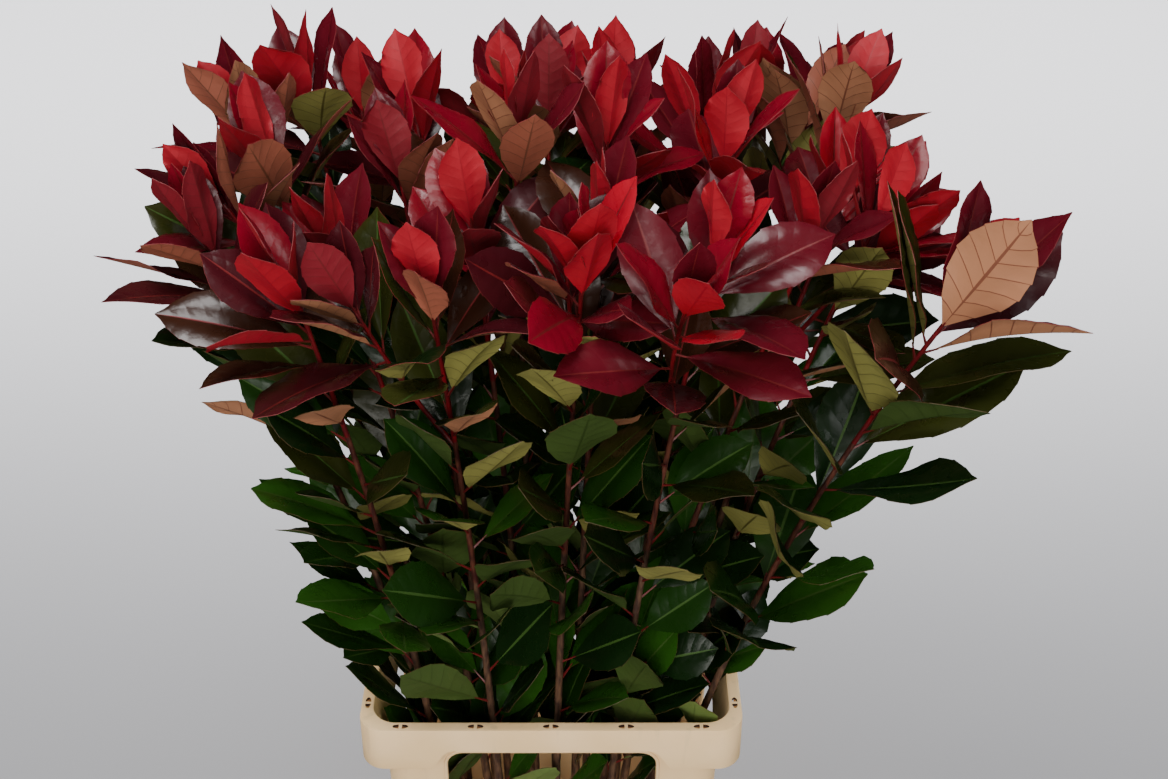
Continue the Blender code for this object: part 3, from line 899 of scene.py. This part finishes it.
def window_section(half_width, grow=0.0):
    top = RIM_TOP - WINDOW_TOP_DROP
    middle = top - WINDOW_HEIGHT / 2
    flat_x = half_width - WINDOW_CORNER
    flat_z = WINDOW_HEIGHT / 2 - WINDOW_CORNER
    radius = WINDOW_CORNER + grow
    points = []
    for quarter, (side_x, side_z) in enumerate(((1, 1), (-1, 1), (-1, -1), (1, -1))):
        for step in range(WINDOW_CORNER_STEPS + 1):
            angle = math.pi / 2 * (quarter + step / WINDOW_CORNER_STEPS)
            x = side_x * flat_x + radius * math.cos(angle)
            points.append((x, middle + side_z * flat_z + radius * math.sin(angle)))
    return points


def cutaway_section(half_width):
    """The part of the skirt left out over a window, with its corners rounded."""
    top = RIM_TOP - CUTAWAY_DROP
    bottom = RIM_TOP - SKIRT_DROP - CUT_PAST
    slant = CUTAWAY_SLANT * (top - bottom) / (SKIRT_DROP - CUTAWAY_DROP)
    wide = half_width + slant
    corners = [(-wide, bottom), (wide, bottom), (half_width, top), (-half_width, top)]
    return softened(corners, closed=True, radius=CUTAWAY_ROUND)


def slot_cutters():
    """The pairs of half-round pockets along the rim, as one cutter."""
    points, faces = [], []
    half = (SLOT_LENGTH + SLOT_RIB) / 2
    for side in range(4):
        long = side % 2 == 0
        count, pitch = (SLOTS_LONG, SLOT_PITCH) if long else (SLOTS_SHORT, SLOT_PITCH_SHORT)
        edge = (RIM_DEPTH if long else RIM_LENGTH) / 2 - SLOT_INSET
        facing = -1 if side < 2 else 1
        for k in range(count):
            middle = (k - (count - 1) / 2) * pitch
            for end in (-1, 1):
                base = len(points)
                ring = []
                for step in range(SLOT_ROUND_STEPS + 1):
                    angle = math.pi * (step / SLOT_ROUND_STEPS - 0.5)
                    ring.append((end * (SLOT_LENGTH * math.cos(angle)), SLOT_WIDTH / 2 * math.sin(angle)))
                for z in (RIM_TOP - SLOT_DEPTH, RIM_TOP + SLOT_CUT_ABOVE):
                    for along, across in ring:
                        x = middle + end * SLOT_RIB / 2 + along
                        y = facing * edge + across
                        points.append((x, y, z) if long else (y, x, z))
                corners = len(ring)
                top = base + corners
                faces.append(tuple(base + n for n in range(corners)))
                faces.append(tuple(top + n for n in range(corners)))
                for n in range(corners):
                    after = (n + 1) % corners
                    faces.append((base + n, base + after, top + after, top + n))
    return solid("slot_cutters", points, faces)


def build_collar(plastic, slot_shade_paint):
    top = RIM_TOP
    profile = softened([
        (0, top - SKIRT_DROP),
        (0, top),
        (FLANGE_WIDTH, top),
        (FUNNEL_INSET, top - FUNNEL_DROP),
        (WALL_FOOT_INSET, top - WALL_DROP),
        (WALL_FOOT_INSET - PLASTIC, top - WALL_DROP),
        (WALL_FOOT_INSET - PLASTIC, top - BEAD_DROP - BEAD_HEIGHT),
        (BEAD_INSET, top - BEAD_DROP - BEAD_HEIGHT),
        (BEAD_INSET, top - BEAD_DROP),
        (WALL_FOOT_INSET - 1.3 * PLASTIC, top - BEAD_DROP),
        (FUNNEL_INSET - PLASTIC, top - FUNNEL_DROP),
        (FLANGE_WIDTH - PLASTIC, top - PLASTIC),
        (PLASTIC, top - PLASTIC),
        (PLASTIC, top - SKIRT_DROP),
    ], closed=True)
    collar = loft("crate_collar", profile, closed=True)
    collar.data.materials.append(plastic)
    collar.data.materials.append(slot_shade_paint)
    for side, (length, reach) in enumerate(((RIM_LENGTH, RIM_DEPTH), (RIM_DEPTH, RIM_LENGTH)) * 2):
        facing = -1 if side < 2 else 1
        outside = reach / 2 * facing
        for section, depth in (
            (window_section(length / 2 - WINDOW_SIDE_MARGIN), WALL_FOOT_INSET + CUT_PAST),
            (cutaway_section(length / 2 - CUTAWAY_MARGIN), CUTAWAY_DEPTH),
        ):
            cutter = prism(section, (outside + CUT_PAST * facing, outside - depth * facing), side % 2 == 1)
            cutter.data.materials.append(plastic)
            cut(collar, cutter)
    # The slot pockets take a near-black brown: painted shade for the pockets' depth.
    pockets = slot_cutters()
    pockets.data.materials.append(slot_shade_paint)
    cut(collar, pockets)
    collar.data.shade_smooth()
    collar.data.set_sharp_from_angle(angle=SHARP_EDGE)
    return collar


def wall_inset(height):
    """How far in the collar's outer wall is at a height."""
    share = (RIM_TOP - FUNNEL_DROP - height) / (WALL_DROP - FUNNEL_DROP)
    return FUNNEL_INSET - PLASTIC + share * (WALL_FOOT_INSET - FUNNEL_INSET)


def build_window_lips(plastic):
    """A raised round lip along each window's edge, on the outside of the wall."""
    points, faces = [], []
    for side, (length, reach) in enumerate(((RIM_LENGTH, RIM_DEPTH), (RIM_DEPTH, RIM_LENGTH)) * 2):
        facing = -1 if side < 2 else 1
        section = window_section(length / 2 - WINDOW_SIDE_MARGIN, grow=LIP_OUTSIDE)
        path = []
        for across, height in section:
            out = facing * (reach / 2 - wall_inset(height) - LIP_SUNK)
            path.append(Vector((across, out, height)) if side % 2 == 0 else Vector((out, across, height)))
        outward = Vector((0, facing, 0)) if side % 2 == 0 else Vector((facing, 0, 0))
        base, count = len(points), len(path)
        for k, place in enumerate(path):
            along = (path[(k + 1) % count] - path[k - 1]).normalized()
            beside = along.cross(outward)
            for step in range(LIP_SIDES):
                angle = 2 * math.pi * step / LIP_SIDES
                points.append(place + LIP_RADIUS * (math.cos(angle) * beside + math.sin(angle) * outward))
        for k in range(count):
            here, beyond = base + k * LIP_SIDES, base + (k + 1) % count * LIP_SIDES
            for step in range(LIP_SIDES):
                after = (step + 1) % LIP_SIDES
                faces.append((here + step, here + after, beyond + after, beyond + step))
    lips = solid("window_lips", points, faces)
    lips.data.materials.append(plastic)
    lips.data.shade_smooth()
    return lips


def build_tub(plastic):
    lip = RIM_TOP - BEAD_DROP - BEAD_HEIGHT - CLEAR
    profile = softened([
        (TUB_FOOT_INSET + PLASTIC, TUB_FLOOR),
        (TUB_MOUTH_INSET, lip),
        (TUB_LIP_INSET, lip),
        (TUB_LIP_INSET, lip - TUB_LIP_HEIGHT),
        (TUB_WALL_INSET, lip - TUB_LIP_HEIGHT),
        (TUB_FOOT_INSET, 0),
        (TUB_FOOT_INSET + TUB_FOOT_FLAT, 0),
    ], closed=False, radius=TUB_ROUND)
    tub = loft("crate_tub", profile, closed=False)
    tub.data.materials.append(plastic)
    tub.data.shade_smooth()
    tub.data.set_sharp_from_angle(angle=SHARP_EDGE)
    return tub


def plastic_material():
    """Cream moulded plastic with faint blotches, rubbed streaks and a few dark specks."""
    made = new_material("cream_plastic", (241, 206, 156), 0.42)
    tree = made.node_tree
    shader = tree.nodes["Principled BSDF"]
    place = tree.nodes.new("ShaderNodeTexCoord")
    layers = (
        ("blotch", 14.0, (1, 1, 1), (0.35, 0.75), (241, 206, 156), (230, 192, 138)),
        ("streak", 60.0, (1, 1, 0.12), (0.60, 0.72), None, (176, 152, 118)),
        ("speck", 420.0, (1, 1, 1), (0.74, 0.78), None, (96, 70, 46)),
    )
    colour = None
    for name, scale, stretch, (low, high), plain, tint in layers:
        spread = tree.nodes.new("ShaderNodeMapping")
        spread.inputs["Scale"].default_value = stretch
        noise = tree.nodes.new("ShaderNodeTexNoise")
        noise.name = name
        noise.inputs["Scale"].default_value = scale
        noise.inputs["Detail"].default_value = 3
        amount = tree.nodes.new("ShaderNodeMapRange")
        amount.inputs["From Min"].default_value = low
        amount.inputs["From Max"].default_value = high
        amount.inputs["To Max"].default_value = 1.0 if plain else 0.3
        mix = tree.nodes.new("ShaderNodeMix")
        mix.data_type = "RGBA"
        mix.inputs["B"].default_value = linear(tint)
        tree.links.new(place.outputs["Object"], spread.inputs["Vector"])
        tree.links.new(spread.outputs["Vector"], noise.inputs["Vector"])
        tree.links.new(noise.outputs["Fac"], amount.inputs["Value"])
        tree.links.new(amount.outputs["Result"], mix.inputs["Factor"])
        if colour is None:
            mix.inputs["A"].default_value = linear(plain)
        else:
            tree.links.new(colour, mix.inputs["A"])
        colour = mix.outputs["Result"]
    tree.links.new(colour, shader.inputs["Base Color"])
    return made


def area_light(name, place, target, size, power, colour=(1, 1, 1), mirrored=True):
    light = bpy.data.lights.new(name, "AREA")
    light.shape = "RECTANGLE"
    light.size, light.size_y = size
    light.energy = power
    light.color = colour
    obj = bpy.data.objects.new(name, light)
    obj.location = place
    obj.rotation_euler = (Vector(target) - Vector(place)).to_track_quat("-Z", "Y").to_euler()
    obj.visible_camera = False
    obj.visible_glossy = mirrored
    bpy.context.scene.collection.objects.link(obj)


def build_studio():
    world = bpy.data.worlds.new("studio")
    world.use_nodes = True
    world.node_tree.nodes["Background"].inputs["Color"].default_value = (0.92, 0.95, 1.0, 1)
    world.node_tree.nodes["Background"].inputs["Strength"].default_value = 0.32
    world.cycles_visibility.glossy = False
    bpy.context.scene.world = world
    warm = (1.0, 0.97, 0.93)
    area_light("overhead", (-0.35, -0.55, 2.6), (0, 0, 0.9), size=(1.2, 0.8), power=40)
    area_light("front", (-0.4, -3.0, 1.7), (0, 0, 0.55), size=(3.2, 1.6), power=104, colour=warm)
    area_light("right", (2.2, -1.2, 1.9), (0, 0, 0.8), size=(0.8, 1.2), power=12)
    area_light("far_floor", (0, 3.5, 1.3), (0, 3.5, 0), size=(7.0, 4.4), power=1440, mirrored=False)
    area_light("crate", (0.1, -1.9, 0.8), (0, -0.15, 0.38), size=(0.8, 0.3), power=6, mirrored=False)
    floor = solid("floor", [(-9, -6, 0), (9, -6, 0), (9, 14, 0), (-9, 14, 0)], [(0, 1, 2, 3)])
    floor.data.materials.append(new_material("pale_floor", (112, 112, 114), 0.85))
    floor.visible_glossy = False


def build_camera():
    lens = bpy.data.cameras.new("camera")
    lens.lens = LENS
    lens.sensor_width = 36
    camera = bpy.data.objects.new("camera", lens)
    camera.location = CAMERA_PLACE
    camera.rotation_euler = (math.radians(90 - CAMERA_DOWN), 0, 0)
    bpy.context.scene.collection.objects.link(camera)
    bpy.context.scene.camera = camera


def leaf_palette():
    """Leaf materials by name: tops are the smoothest, and have a light coat."""
    palette = {}
    for colours, roughness, coat in (
        (TOP_COLOURS, 0.27, 0.06),
        (UNDER_COLOURS, 0.55, 0.0),
        (RIB_COLOURS, 0.45, 0.0),
        (EDGE_AND_HIGHLIGHT_COLOURS, 0.50, 0.0),
    ):
        for name, colour in colours.items():
            palette[name] = leaf_material(name, colour, roughness, coat)
    return palette


def bark_materials():
    """Old bark, young bark and the red shoot, in the order of their slots."""
    return [
        speckled("old_bark", ((54, 34, 26), (96, 68, 48)), 260, 0.6, bump=0.3, stretch=BARK_STRETCH),
        speckled("young_bark", ((52, 22, 20), (92, 50, 36)), 240, 0.45, bump=0.3, stretch=BARK_STRETCH),
        speckled("red_shoot", ((112, 14, 22), (66, 16, 20)), 120, 0.35, bump=0.1, stretch=BARK_STRETCH),
    ]


def build_plant():
    chance = random.Random(SEED)
    branches = [Branch(row, place, chance) for row in ROWS for place in range(row[-1])]
    leaves = grow_leaves(branches, chance)
    palette = leaf_palette()
    barks = bark_materials()
    for row in ROWS:
        members = [number for number, branch in enumerate(branches) if branch.label.startswith(row[0])]
        names = [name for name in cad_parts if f"_{row[0]}_" in name and not name.startswith("collar")]
        own = [leaf for leaf in leaves if leaf.owner in members]
        foliage = leaf_mesh(f"foliage_{row[0]}", own, palette, chance)
        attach(foliage, "root")
        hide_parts(*(name for name in names if name.startswith("leaves_")))
        bark = bark_mesh(f"stems_{row[0]}", [branches[number] for number in members], barks, chance)
        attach(bark, "root")
        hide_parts(*(name for name in names if name.startswith("stem_")))


def build_crate():
    plastic = plastic_material()
    # A near-black brown for the slot pockets: painted shade in the recesses.
    slot_shade_paint = speckled("painted_slot_shade", ((60, 32, 16), (34, 16, 8)), scale=500, roughness=0.8)
    collar = build_collar(plastic, slot_shade_paint)
    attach(collar, "root")
    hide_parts(*(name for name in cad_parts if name.startswith("collar")))
    lips = build_window_lips(plastic)
    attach(lips, "root")
    tub = build_tub(plastic)
    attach(tub, "root")
    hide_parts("tub")


build_camera()
build_studio()
build_crate()
build_plant()
